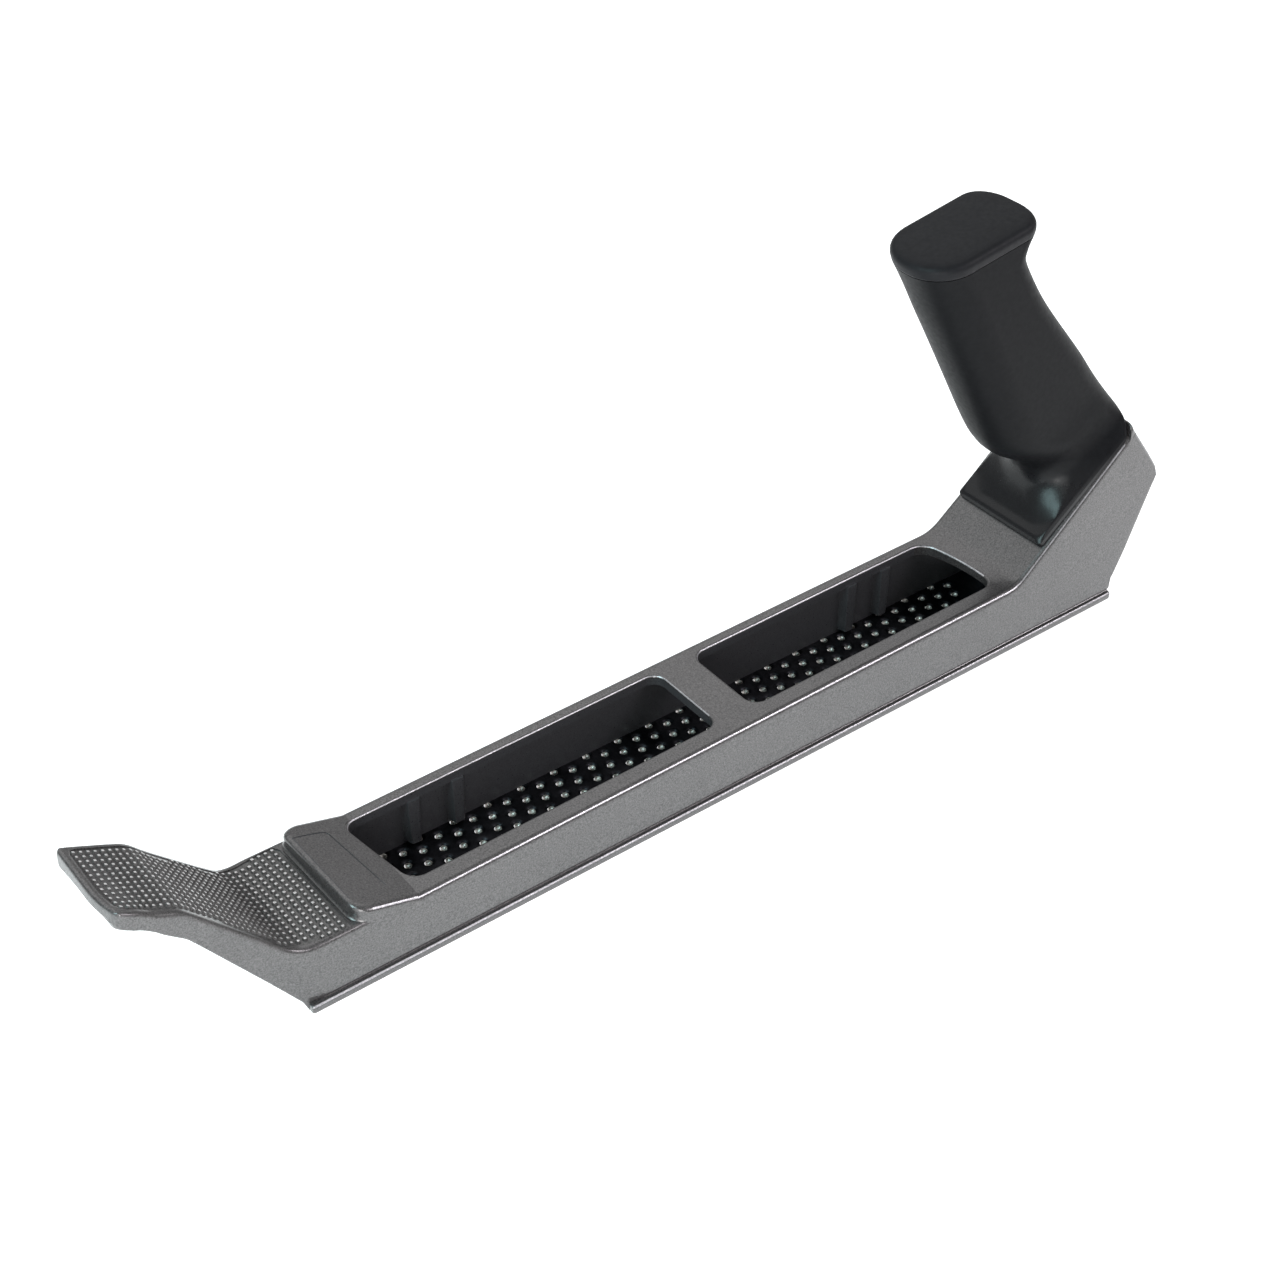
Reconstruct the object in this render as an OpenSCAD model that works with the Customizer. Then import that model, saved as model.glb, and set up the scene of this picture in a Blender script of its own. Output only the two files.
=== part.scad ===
// Rasp shaper plane: cast body with an upturned toe rest, an open-tooth blade
// under two long windows, a blade tensioner in the heel and a pistol grip.
// X runs from the toe (-X) to the heel (+X), Z is up, the tooth tips rest on z = 0.

/* [Body] */
// length of the two sole rails
rail_len = 316; // [300:1:330]
// width of the body at the bottom of the side walls
body_w = 44; // [42:0.5:47]
// how far each rail stands out from the side wall
rail_out = 1.0; // [0.6:0.1:1.6]
// height of a rail
rail_h = 2.9; // [2.4:0.1:3.4]
// height of the groove above a rail
groove_h = 1.2; // [0.8:0.1:1.6]
// height of the rails above the tooth tips
rail_lift = 1.0; // [0.6:0.1:1.3]
// deck height above the rails at the front end
deck_z = 21.4; // [20.5:0.1:22.5]
// rise of the deck over its length
deck_rise = 3.7; // [3:0.1:4]
// side wall and deck thickness
wall = 3.4; // [3:0.1:4]
// lean of each side wall, degrees from upright
side_draft = 2.0; // [1:0.1:2.4]
// radius of the long top edges
edge_r = 2.0; // [1:0.1:2.4]

/* [Windows] */
// half width of both windows
window_half = 15.5; // [13:0.1:16]
// front window, start along the rails
window1_from = 35.5; // [34:0.5:38]
// front window, end along the rails
window1_to = 147.5; // [140:0.5:150]
// rear window, start along the rails
window2_from = 163.4; // [160:0.1:170]
// rear window, end along the rails at its middle
window2_to = 261; // [250:0.5:262]
// window corner radius
window_r = 4.5; // [2:0.5:6]

/* [Ramp] */
// start of the ramp along the rails
ramp_x = 269.2; // [268:0.1:270.5]
// height of the ramp start above the rails
ramp_z = 25.8; // [25.4:0.1:26.2]
// slope of the ramp, degrees
ramp_a = 39.4; // [39:0.1:40]

/* [Blade] */
// blade width
blade_w = 42; // [40:0.5:42.2]
// blade sheet thickness
blade_t = 0.9; // [0.7:0.1:1.0]
// height of the tooth tips below the sheet
tooth_h = 1.4; // [1.2:0.1:1.5]
// spacing of the teeth along the blade
tooth_pitch = 12.4; // [12:0.1:13]
// spacing of neighbouring tooth rows across the blade
row_pitch = 2.6; // [2.5:0.05:2.7]
// forward shift from one tooth row to the next
row_shift = 5.4; // [5:0.1:5.8]
// diameter of the holes that let shavings through
hole_d = 2.2; // [1.8:0.1:2.3]

/* [Tensioner] */
// screw thread diameter
tension_d = 5; // [5:0.5:6]
// screw axis height above the tooth tips
tension_z = 11; // [10.5:0.1:12]
// travel of the hook from tight to released
hook_travel = 4; // [2:0.5:5]

/* [Grip] */
// half width of the grip in its straight part
grip_half = 14; // [13:0.1:14.6]
// half width of the flange that sits on the ramp
flange_half = 19.2; // [18.5:0.1:19.6]
// thickness of the cap
cap_t = 4.7; // [4:0.1:5.2]
// tilt of the cap, degrees
cap_tilt = 9.4; // [9:0.1:10]
// diameter of the two grip screws
grip_screw_d = 5; // [4:0.5:6]
// lower grip screw, distance up the ramp
grip_screw1 = 36.5; // [36:0.5:38]
// upper grip screw, distance up the ramp
grip_screw2 = 51; // [49:0.5:52]

/* [Hidden] */
$fn = 48;

// position of the rails' front end, so that x = 0 is the middle of the tool
x0 = -142.55;
half = body_w / 2;
slot_half = 21.15;
cavity_half = half - wall;
gap = 0.02;
blade_z = tooth_h;
blade_from = 7;
catch_x = 13.5;
catch_screw_d = 4;
catch_top = 18;
hook_x = 290.5;
bearing_x = 311.5;
washer_t = 1;
wall_ramp = 4.4;
lip_x = 316.3;
lip_r = 3;
insert_d = 8;
insert_l = 12;
blade_to = 297;
tooth_rows = 15;
teeth_from = 21.4;
teeth_to = 277;

function deck_at(x) = deck_z + deck_rise * x / rail_len;
function ramp_pt(s) = [ramp_x + s * cos(ramp_a), ramp_z + s * sin(ramp_a)];
under_ramp = wall_ramp * [sin(ramp_a), -cos(ramp_a)];

// profile of the casting seen from the side, heights above the rails
side_pts = [
    [0, 0], [-1.2, 3.8], [-28.6, 42.2], [-31.4, 45.4], [-35, 48.4], [-40.5, 51.2],
    [-46.4, 54.6], [-47.5, 55.5], [-47.8, 56.8], [-47.1, 59.9], [-46, 60.5], [-44.6, 59.9],
    [-38.7, 56.6], [-33, 53.6],
    [-30.4, 52], [-27.6, 49.7], [-20.4, 42.4], [-10.2, 31.3], [-6.1, 27.4], [-3.1, 24.9],
    [0, 23.2], [3.1, 22.4], [6, 22.2], [16.8, 22.5], [17.8, 22.9], [18.3, 25.2],
    [18.9, 26.2], [20.2, 26.5], [33, 22.6], [36.5, deck_at(36.5)], [263, deck_at(263)],
    [268, 25.2], [272, 28], ramp_pt(8), ramp_pt(60.9), [lip_x, 68.6], [316.9, 69.1],
    [317.4, 68.3], [320, 63.6], [327.6, 54.1], [330.6, 50.2], [332.3, 46.9], [332.9, 43.6],
    [332.3, 40.3], [329.6, 33.5], [326.4, 26.6], [322.2, 16.7], [319.4, 11.9], [317.1, 7.4],
    [316.6, 3.6], [rail_len, 0]
];

// plan of one half of the casting, narrower at the toe
plan_pts = [
    [334, 0], [334, half], [10, half], [5, 21.8], [0, 21], [-5, 19.9], [-10, 19.1],
    [-20, 17.9], [-28, 17.1], [-43, 16.7], [-45.9, 15.9], [-47.4, 14.2], [-47.8, 12], [-47.8, 0]
];

module place() translate([x0, 0, rail_lift]) children();
module side_slab(h) rotate([90, 0, 0]) linear_extrude(2 * h, center = true) children();
module both_sides() {
    children();
    mirror([0, 1, 0]) children();
}
module on_ramp(s) translate([ramp_pt(s)[0], 0, ramp_pt(s)[1]]) rotate([0, -ramp_a, 0]) children();
module along_x(x, z, d, l) translate([x, 0, z]) rotate([0, 90, 0]) cylinder(d = d, h = l);

module rounded_rect(x1, x2, y, r) {
    translate([x1, -y + r]) square([x2 - x1, 2 * (y - r)]);
    translate([x1 + r, -y]) square([x2 - x1 - 2 * r, 2 * y]);
    for (x = [x1 + r, x2 - r])
        for (s = [-1, 1])
            translate([x, s * (y - r)]) circle(r);
}

module outer_shell() {
    lean = 80 * tan(side_draft);
    intersection() {
        side_slab(30) polygon(side_pts);
        union() {
            linear_extrude(80) polygon(plan_pts);
            mirror([0, 1, 0]) linear_extrude(80) polygon(plan_pts);
        }
        rotate([90, 0, 90]) translate([0, 0, -60]) linear_extrude(420)
            polygon([[-half, 0], [half, 0], [half - lean, 80], [lean - half, 80]]);
    }
}

// rounds one long top edge between two points of the side profile
module edge_cut(a, b) {
    d = b - a;
    ang = atan2(d[1], d[0]);
    y = half - (a[1] + b[1]) / 2 * tan(side_draft);
    translate([a[0], 0, a[1]]) rotate([0, -ang, 0]) difference() {
        translate([0, y - edge_r, -edge_r]) cube([norm(d), edge_r + 3, edge_r + 3]);
        translate([-1, y - edge_r, -edge_r]) rotate([0, 90, 0]) cylinder(r = edge_r, h = norm(d) + 2);
    }
}

// rounds one upper corner of the lip behind the grip
module lip_corner_cut() {
    y = half - 69 * tan(side_draft) - lip_r;
    translate([lip_x - 1, y, 69.1 - lip_r]) difference() {
        cube([8, lip_r + 3, lip_r + 1]);
        translate([-1, 0, 0]) rotate([0, 90, 0]) cylinder(r = lip_r, h = 10);
    }
}

module cavity() {
    side_slab(cavity_half) polygon([
        [12, -2], [12, catch_top - 1], [13, catch_top + gap], [36, deck_at(36) - wall],
        [262, deck_at(262) - wall], [271, 22.5], ramp_pt(8) + under_ramp, ramp_pt(57) + under_ramp,
        [321, 58], [326, 50.6], [327.4, 44.3], [323.5, 33], [317, 20], [305, 18], [304.5, -2]
    ]);
}

module toe_pocket() {
    side_slab(12.6) polygon([
        [-4.5, 3], [-31.2, 41.2], [-29.2, 44], [-26.6, 43.8], [-9, 24.2], [-2, 18.6], [8, 18], [8, 3]
    ]);
}

module windows() {
    translate([0, 0, 10]) linear_extrude(30) rounded_rect(window1_from, window1_to, window_half, window_r);
    translate([0, 0, 10]) linear_extrude(30) intersection() {
        rounded_rect(window2_from, window2_to, window_half, window_r);
        translate([window2_to - 60, 0]) circle(60, $fn = 120);
    }
    translate([0, 0, 10]) linear_extrude(30)
        rounded_rect(window2_from, window2_to - 20, window_half, window_r);
}

module ribs() {
    for (x = [56, 71.5, 229.5, 244.5])
        both_sides() translate([x, cavity_half - 1.2, 3.2]) cube([2.8, 1.6, deck_at(x) - wall - 3]);
}

module rails() {
    both_sides() rotate([90, 0, 90]) linear_extrude(rail_len) {
        translate([slot_half, 0.8]) square([half + rail_out - slot_half - 0.8, rail_h - 1.6]);
        translate([slot_half, 0]) square([half + rail_out - slot_half - 0.8, rail_h]);
        translate([half, 0.8]) square([rail_out, rail_h - 1.6]);
        for (z = [0.8, rail_h - 0.8])
            translate([half + rail_out - 0.8, z]) circle(0.8);
    }
}

module body_casting() color([0.42, 0.43, 0.44]) place() {
    difference() {
        union() {
            difference() {
                outer_shell();
                cavity();
                toe_pocket();
            }
            intersection() {
                outer_shell();
                ribs();
            }
        }
        windows();
        // long top edges
        both_sides() {
            edge_cut([20.2, 26.5], [36.5, deck_at(36.5)]);
            edge_cut([36.5, deck_at(36.5)], [268, deck_at(268)]);
            edge_cut(ramp_pt(1), ramp_pt(60.5));
            lip_corner_cut();
        }
        // seat that takes the blade and lets its ends pass
        translate([blade_from - 1, -slot_half, -1])
            cube([blade_to - blade_from + 5, 2 * slot_half, blade_z + blade_t - rail_lift + 1]);
        translate([blade_from - 1, -cavity_half, -1]) cube([6, 2 * cavity_half, 11]);
        // groove above each rail
        both_sides() translate([-40, half - 0.9, rail_h]) cube([400, 2, groove_h]);
        // shallow panel on the front pad
        translate([20.4, 0, 26.5]) rotate([0, 17, 0]) translate([0, 0, -0.6])
            linear_extrude(3) rounded_rect(1.4, 12, 14, 2);
        // tensioner screw: seat, bearing and way in from behind
        along_x(bearing_x, tension_z - rail_lift, 9.6, 20);
        along_x(300, tension_z - rail_lift, tension_d + 0.1, 20);
        // grip screws
        for (s = [grip_screw1, grip_screw2])
            on_ramp(s) translate([0, 0, -12]) cylinder(d = grip_screw_d + 0.6, h = 14);
        // screw of the front catch
        translate([catch_x + 9, 0, 15]) cylinder(d = catch_screw_d, h = 8);
    }
    difference() {
        rails();
        translate([-1, -half - 2, -1]) cube([1.0, 2 * half + 4, 6]);
    }
}

module blade_seat() translate([x0, 0, blade_z]) children();

function row_y(r) = row_pitch * (r - (tooth_rows - 1) / 2);
function tooth_xs(r) = [
    for (x = [teeth_from + (row_shift * (tooth_rows - 1 - r)) % tooth_pitch : tooth_pitch : teeth_to]) x];

module rasp_blade() color([0.1, 0.1, 0.11]) blade_seat() {
    linear_extrude(blade_t) difference() {
        translate([blade_from, -blade_w / 2]) square([blade_to - blade_from, blade_w]);
        for (r = [0:tooth_rows - 1])
            for (x = tooth_xs(r))
                translate([x, row_y(r)]) circle(d = hole_d, $fn = 16);
        translate([catch_x - 0.1, -6]) square([3.8, 12]);
        translate([hook_x - hook_travel - 3, -6.4]) square([hook_travel + 3.1, 12.8]);
    }
    // each row of teeth is one saw-toothed strip
    for (r = [0:tooth_rows - 1])
        translate([0, row_y(r), 0]) rotate([90, 0, 0]) linear_extrude(1.7, center = true)
            for (x = tooth_xs(r))
                translate([x, 0])
                    polygon([[1.3, 0.2], [0.5, -tooth_h], [1.1, -tooth_h], [4.6, 0], [4.6, 0.2]]);
}

module blade_catch() color([0.6, 0.6, 0.62]) place() difference() {
    union() {
        translate([catch_x, -8, catch_top - 2]) cube([16, 16, 2]);
        translate([catch_x, -5.5, -0.3]) cube([2, 11, catch_top]);
    }
    translate([catch_x + 9, 0, 10]) cylinder(d = catch_screw_d + 0.4, h = 12);
}

module catch_screw() color([0.7, 0.7, 0.72]) place() translate([catch_x + 9, 0, 0]) difference() {
    union() {
        translate([0, 0, catch_top - 2]) cylinder(d = catch_screw_d, h = 7);
        translate([0, 0, catch_top - 4.6]) cylinder(d = 7.2, h = 2.6);
    }
    translate([0, 0, catch_top - 4.7]) cylinder(d = 2.6, h = 1.8, $fn = 6);
}

module tension_hook() color([0.55, 0.55, 0.57]) translate([x0, 0, 0]) difference() {
    union() {
        translate([hook_x - 2.5, -cavity_half + 0.5, blade_z + blade_t + 0.4])
            cube([10, 2 * cavity_half - 1, 15]);
        translate([hook_x - 2.5, -6, 0.7]) cube([2.5, 12, 4]);
    }
    along_x(hook_x - 10, tension_z, tension_d + 0.1, 30);
    both_sides() translate([hook_x - 4, cavity_half - 6, blade_z + 9]) cube([14, 8, 12]);
}

module tension_screw() color([0.7, 0.7, 0.72]) translate([x0, 0, 0]) difference() {
    union() {
        along_x(hook_x - 8, tension_z, tension_d, bearing_x - hook_x + 10);
        along_x(bearing_x + washer_t + 0.05, tension_z, 8.5, 5);
    }
    along_x(bearing_x + washer_t + 2.4, tension_z, 4.6, 5, $fn = 6);
}

module ring_washer(d, bore) difference() {
    cylinder(d = d, h = washer_t);
    translate([0, 0, -1]) cylinder(d = bore, h = washer_t + 2);
}

module tension_washer() color([0.72, 0.72, 0.74])
    translate([x0 + bearing_x, 0, tension_z]) rotate([0, 90, 0]) ring_washer(9.4, tension_d + 0.3);

// Lofted grip. Each station holds the front point, the rear point, half widths at
// front and rear, and the length and half width of the corner curves at each end.
foot = ramp_pt(14.3);
grip_stations = [
    [foot[0], foot[1], 315.6, 64.0, flange_half, flange_half, 1.5, 1.5, 1.5, 1.5],
    [foot[0] - 1.1, foot[1] + 1.5, 315.8, 66.0, flange_half, flange_half, 1.8, 1.8, 2, 2],
    [foot[0] - 0.4, foot[1] + 3.2, 316.0, 68.2, 18.4, 19.0, 3, 3, 3, 3],
    [284.8, 45.0, 316.2, 71.2, 12.5, 17.8, 6, 7, 5, 5],
    [287.8, 51.5, 315.8, 74.0, 9.4, 16.4, 8, 8.4, 6, 7],
    [286.0, 57.0, 313.8, 77.2, 9.6, 15.3, 9, 9, 6.5, 8],
    [278.5, 61.6, 310.8, 81.0, 11.0, 14.7, 10.5, 10.5, 7, 8],
    [270.8, 66.4, 306.9, 86.0, 12.8, 14.2, 12, 12, 7, 8],
    [265.2, 72.6, 302.5, 91.6, 13.7, grip_half, 12.6, 12.9, 7, 8],
    [259.8, 81.2, 296.0, 100.0, grip_half, grip_half, 13, 13.2, 7, 8],
    [250.0, 98.9, 283.4, 115.0, grip_half, grip_half, 13, 13.2, 7, 8],
    [241.6, 114.0, 274.8, 125.7, grip_half, grip_half, 13, 13.2, 7, 8],
    [234.6, 126.4, 268.0, 135.8, grip_half, grip_half, 13, 13.2, 7, 8],
    [229.6, 135.6, 264.2, 143.1, grip_half, grip_half, 13, 13.2, 7.2, 8.6],
    [226.6, 140.9, 265.0, 147.7, grip_half, grip_half, 12.8, 13.2, 7.6, 10],
    [224.3, 144.7, 267.3, 151.9, grip_half, grip_half, 12.6, 13.2, 8, 11.5]
];
cap_low = grip_stations[len(grip_stations) - 1];

function corner(cu, cv, au, av, a0, n) =
    [for (i = [0:n]) let (t = a0 + 90 * i / n) [cu + au * cos(t), cv + av * sin(t)]];
function outline(l, s, n) = concat(
    corner(l - s[8], s[5] - s[9], s[8], s[9], 0, n),
    corner(s[6], s[4] - s[7], s[6], s[7], 90, n),
    corner(s[6], s[7] - s[4], s[6], s[7], 180, n),
    corner(l - s[8], s[9] - s[5], s[8], s[9], 270, n));
function ring(s, n) =
    let (l = norm([s[2] - s[0], s[3] - s[1]]), u = [(s[2] - s[0]) / l, (s[3] - s[1]) / l])
        [for (p = outline(l, s, n)) [s[0] + u[0] * p[0], p[1], s[1] + u[1] * p[0]]];
function blend(a, b, c, d, t) = 0.5 * (2 * b + (c - a) * t + (2 * a - 5 * b + 4 * c - d) * t * t
    + (3 * b - a - 3 * c + d) * t * t * t);
// stations in between, on a smooth curve from station "from" upward
function refine(st, from, k) = let (m = len(st) - 1) [
    for (i = [0:m - 1]) each (i < from ? [st[i]] :
        [for (j = [0:k - 1]) blend(st[max(i - 1, from)], st[i], st[i + 1], st[min(i + 2, m)], j / k)]),
    st[m]
];

module loft(stations, n) {
    rings = [for (s = stations) ring(s, n)];
    c = len(rings[0]);
    m = len(rings);
    polyhedron(
        points = [for (r = rings) each r],
        faces = concat(
            [[for (i = [0:c - 1]) i]],
            [for (j = [0:m - 2]) for (i = [0:c - 1]) let (a = j * c + i, b = j * c + (i + 1) % c) [a, a + c, b]],
            [for (j = [0:m - 2]) for (i = [0:c - 1]) let (a = j * c + i, b = j * c + (i + 1) % c) [b, a + c, b + c]],
            [[for (i = [0:c - 1]) m * c - 1 - i]]
        ));
}

module grip_pocket() {
    translate([cap_low[0], 0, cap_low[1]]) rotate([0, -cap_tilt, 0]) translate([22.5, 0, 0])
        children();
}

module handle_grip() color([0.09, 0.09, 0.1]) place() difference() {
    loft(refine(grip_stations, 1, 3), 6);
    // pocket that the cap plugs into
    grip_pocket() rotate([0, -20, 0]) translate([0, 0, -62]) linear_extrude(90)
        rounded_rect(-13, 12, 9, 8);
    for (s = [grip_screw1, grip_screw2])
        on_ramp(s) translate([0, 0, -1]) cylinder(d = insert_d, h = insert_l + 3);
}

cap_up = [-sin(cap_tilt), cos(cap_tilt)];
// a station moved up from the grip's top edge and pulled in all round
function lift(s, h, inset) = [
    s[0] + cap_up[0] * h + inset * cap_up[1], s[1] + cap_up[1] * h - inset * cap_up[0],
    s[2] + cap_up[0] * h - inset * cap_up[1], s[3] + cap_up[1] * h + inset * cap_up[0],
    s[4] - inset, s[5] - inset, s[6] - inset / 2, s[7] - inset / 2, s[8] - inset / 2, s[9] - inset / 2];

module handle_cap() color([0.1, 0.1, 0.11]) place() {
    loft([lift(cap_low, 0, 0.3), lift(cap_low, 0.4, -0.2), lift(cap_low, cap_t - 2.2, -0.4),
          lift(cap_low, cap_t - 1.1, 0.1), lift(cap_low, cap_t, 1.5)], 6);
    // plug
    intersection() {
        grip_pocket() rotate([0, -20, 0]) translate([0, 0, -12]) linear_extrude(24)
            rounded_rect(-13, 12, 9, 8);
        grip_pocket() translate([-20, -12, -4]) cube([40, 24, 4.5]);
    }
}

module threaded_insert(s) on_ramp(s) translate([0, 0, 0.2]) difference() {
    cylinder(d = insert_d, h = insert_l);
    translate([0, 0, -1]) cylinder(d = grip_screw_d, h = insert_l + 2);
}

module grip_screw(s) on_ramp(s) difference() {
    union() {
        translate([0, 0, -wall_ramp - washer_t - gap]) cylinder(d = grip_screw_d, h = wall_ramp + washer_t + 11);
        translate([0, 0, -wall_ramp - washer_t - 5 - 2 * gap]) cylinder(d = 8.5, h = 5);
    }
    translate([0, 0, -wall_ramp - washer_t - 6]) cylinder(d = 4.6, h = 4, $fn = 6);
}

module grip_washer(s) on_ramp(s) translate([0, 0, -wall_ramp - washer_t - gap]) ring_washer(10, grip_screw_d + 0.3);

module handle_insert_lower() color([0.75, 0.6, 0.3]) place() threaded_insert(grip_screw1);
module handle_insert_upper() color([0.75, 0.6, 0.3]) place() threaded_insert(grip_screw2);
module handle_screw_lower() color([0.7, 0.7, 0.72]) place() grip_screw(grip_screw1);
module handle_screw_upper() color([0.7, 0.7, 0.72]) place() grip_screw(grip_screw2);
module handle_washer_lower() color([0.72, 0.72, 0.74]) place() grip_washer(grip_screw1);
module handle_washer_upper() color([0.72, 0.72, 0.74]) place() grip_washer(grip_screw2);

body_casting();
rasp_blade();
blade_catch();
catch_screw();
tension_hook();
tension_screw();
tension_washer();
handle_grip();
handle_cap();
handle_insert_lower();
handle_insert_upper();
handle_screw_lower();
handle_screw_upper();
handle_washer_lower();
handle_washer_upper();
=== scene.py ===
# Rasp shaper plane: the visible pieces, their materials, the studio and the camera.
# The casting, blade, grip and cap are finer pieces that replace their CAD nodes; the rest are CAD nodes.
import math
import random

import bmesh
import bpy
from mathutils import Matrix, Vector


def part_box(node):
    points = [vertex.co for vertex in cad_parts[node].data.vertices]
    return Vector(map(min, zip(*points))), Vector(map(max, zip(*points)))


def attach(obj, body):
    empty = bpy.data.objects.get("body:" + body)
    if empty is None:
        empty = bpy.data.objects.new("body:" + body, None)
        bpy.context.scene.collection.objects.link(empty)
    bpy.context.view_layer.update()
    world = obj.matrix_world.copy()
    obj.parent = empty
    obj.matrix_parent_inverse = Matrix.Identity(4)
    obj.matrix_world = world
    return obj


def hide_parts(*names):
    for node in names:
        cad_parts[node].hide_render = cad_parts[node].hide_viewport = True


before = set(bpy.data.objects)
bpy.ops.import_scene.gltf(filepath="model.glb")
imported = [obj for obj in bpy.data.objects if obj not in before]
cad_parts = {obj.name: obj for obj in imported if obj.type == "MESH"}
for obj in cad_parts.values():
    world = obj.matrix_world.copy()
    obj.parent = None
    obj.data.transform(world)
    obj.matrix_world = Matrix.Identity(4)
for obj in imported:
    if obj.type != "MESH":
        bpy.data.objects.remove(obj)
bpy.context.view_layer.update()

MM = 0.001

# Lengths below are in millimetres, x from the front end of the rails, z from their underside.
TOE_REACH = 47.8        # how far the toe reaches in front of the rails
LIFT = 1.0              # height of the rails above the tooth tips
X0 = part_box("body_casting")[0][0] / MM + TOE_REACH
RAIL_LEN = 316.0
HALF = 22.0             # half width of the casting above its rails
DRAFT = math.tan(math.radians(2.0))
SLOT_HALF = 21.15       # half width of the seat that takes the blade
WINDOW_Y = (-14.0, 16.4)
CAVITY_HALF = 18.6
WALL = 3.4
RAMP_WALL = 4.4
RAIL_H = 2.9
RAIL_OUT = 1.0
GROOVE_H = 1.2
RAMP = (269.2, 25.8)
RAMP_A = math.radians(39.4)
TENSION_Z = 10.0        # axis of the tension screw
GRIP_SCREWS = (36.5, 51.0)                  # distances up the ramp
RIB_X = (56.0, 71.4, 227.9, 243.0)
DECK_END = 266.0        # the deck's straight part ends here
DECK_SKIN = 0.1         # the visible deck lies this far above the line of deck_at


def deck_at(x):
    return 21.4 + 3.7 * x / RAIL_LEN


def ramp_pt(s, lift=0.0):
    return (RAMP[0] + s * math.cos(RAMP_A) - lift * math.sin(RAMP_A),
            RAMP[1] + s * math.sin(RAMP_A) + lift * math.cos(RAMP_A))


def at(x, y, z):
    return Vector(((X0 + x) * MM, y * MM, (z + LIFT) * MM))


def lerp_table(table, x):
    if x <= table[0][0]:
        return table[0][1]
    for (a, va), (b, vb) in zip(table, table[1:]):
        if x <= b:
            t = (x - a) / (b - a)
            return va + (vb - va) * t
    return table[-1][1]


def rounded_path(corners):
    """Open polyline through corners (x, z, radius), each corner turned into an arc."""
    step = 4.0
    out = [Vector(corners[0][:2])]
    for (ax, az, _), (bx, bz, r), (cx, cz, _) in zip(corners, corners[1:], corners[2:]):
        a, b, c = Vector((ax, az)), Vector((bx, bz)), Vector((cx, cz))
        u, v = (a - b).normalized(), (c - b).normalized()
        turn = math.pi - u.angle(v)
        if r <= 0 or turn < 1e-3:
            out.append(b)
            continue
        t = min(r * math.tan(turn / 2), 0.48 * (a - b).length, 0.48 * (c - b).length)
        r = t / math.tan(turn / 2)
        n = max(2, int(math.degrees(turn) / step))
        p, q = b + u * t, b + v * t
        mid = b + (u + v).normalized() * (r / math.cos(turn / 2))
        a0 = (p - mid)
        sign = 1 if a0.cross(q - mid) > 0 else -1
        for i in range(n + 1):
            ang = sign * turn * i / n
            out.append(mid + Vector((a0.x * math.cos(ang) - a0.y * math.sin(ang),
                                     a0.x * math.sin(ang) + a0.y * math.cos(ang))))
    out.append(Vector(corners[-1][:2]))
    return out


# Side view of the casting: corners (x, z, radius) from the tip of the toe to the point of the heel.
TIP = (-47.75, 57.2)
HEEL = (332.9, 43.6)
LIP_X = 316.3           # front of the lip behind the grip's foot
TOP = rounded_path([
    (*TIP, 0), (-47.1, 61.0, 1.1), (-28.5, 51.9, 14), (-1.4, 22.7, 12), (30, 22.5, 0),
    (37, deck_at(37) + DECK_SKIN, 14), (269.0, deck_at(269) + DECK_SKIN, 12),
    (318.5, 66.3, 1.0), (327.7, 54.1, 8), (332.5, 47.4, 5), (*HEEL, 0)])
UNDER = rounded_path([
    (*TIP, 0), (-47.5, 55.0, 1.0), (-36.5, 49.2, 5), (-28.8, 42.4, 10), (-1.4, 3.6, 0), (0, 0, 0),
    (RAIL_LEN, 0, 0), (317.0, 6.5, 6), (322.2, 16.7, 20), (332.2, 39.6, 6), (*HEEL, 0)])
# Tables along x: half width in plan, and radii of the upper and lower long edges.
PLAN = [(-47.75, 13.6), (-47.3, 15.0), (-46.3, 15.8), (-44, 16.3), (-35, 16.5), (-26, 16.6),
        (-20, 17.3), (-10, 18.5), (-5, 19.5), (0, 20.6), (4, 21.3), (8, 21.7), (12, HALF)]
EDGE = [(-47.8, 1.0), (-44, 1.6), (4, 1.8), (16, 1.8), (38, 2.1), (262, 2.1), (275, 2.0),
        (316, 2.0), (320, 1.6), (332.9, 1.5)]
UNDER_EDGE = [(-47.8, 1.0), (-44, 0.7), (-30, 0.4), (-1, 0.25), (0, 0.15), (316, 0.15),
              (317, 1.2), (332.9, 1.5)]
PAD_FROM = 18.7         # where the flat top of the front pad starts, and its height there
PAD_TOP = 27.3
PAD_SLOPE = (deck_at(37) + DECK_SKIN - PAD_TOP) / (37 - PAD_FROM)
SKEW = 0.055            # lean of the toe towards its far side
FIELD = (-44.9, 15.7)   # ends of the sunk field on the toe rest
FIELD_DEEP = 0.4


def z_on(path, x):
    return lerp_table([(p.x, p.y) for p in path], x)


def pad_plane(x):
    return PAD_TOP + PAD_SLOPE * (x - PAD_FROM)


def slope_on(path, x):
    return math.atan(abs(z_on(path, x + 0.15) - z_on(path, x - 0.15)) / 0.3)


def half_at(x, z):
    """Half width of the casting: the plan and the leaning wall, blended where they meet."""
    plan = lerp_table(PLAN, x)
    wall = HALF - max(z, 0) * DRAFT
    blend = 0.5
    h = max(0, 1 - abs(plan - wall) / blend) * blend
    return min(plan, wall) - h * h / (4 * blend)


def stations():
    """Places along x where the casting is sliced: close together at the toe and the heel."""
    xs = sorted({round(p.x, 2) for p in TOP} | {round(p.x, 2) for p in UNDER})
    xs = [xs[0] + 0.06] + xs[1:-1] + [xs[-1] - 0.06]
    out = [xs[0]]
    for x in xs[1:]:
        gap = x - out[-1]
        if gap < 0.08:
            continue
        n = max(1, int(gap / (1.5 if x < 40 or x > 262 else 7.0)))
        out += [out[-1] + gap * (i + 1) / n for i in range(n)]
    return out


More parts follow.
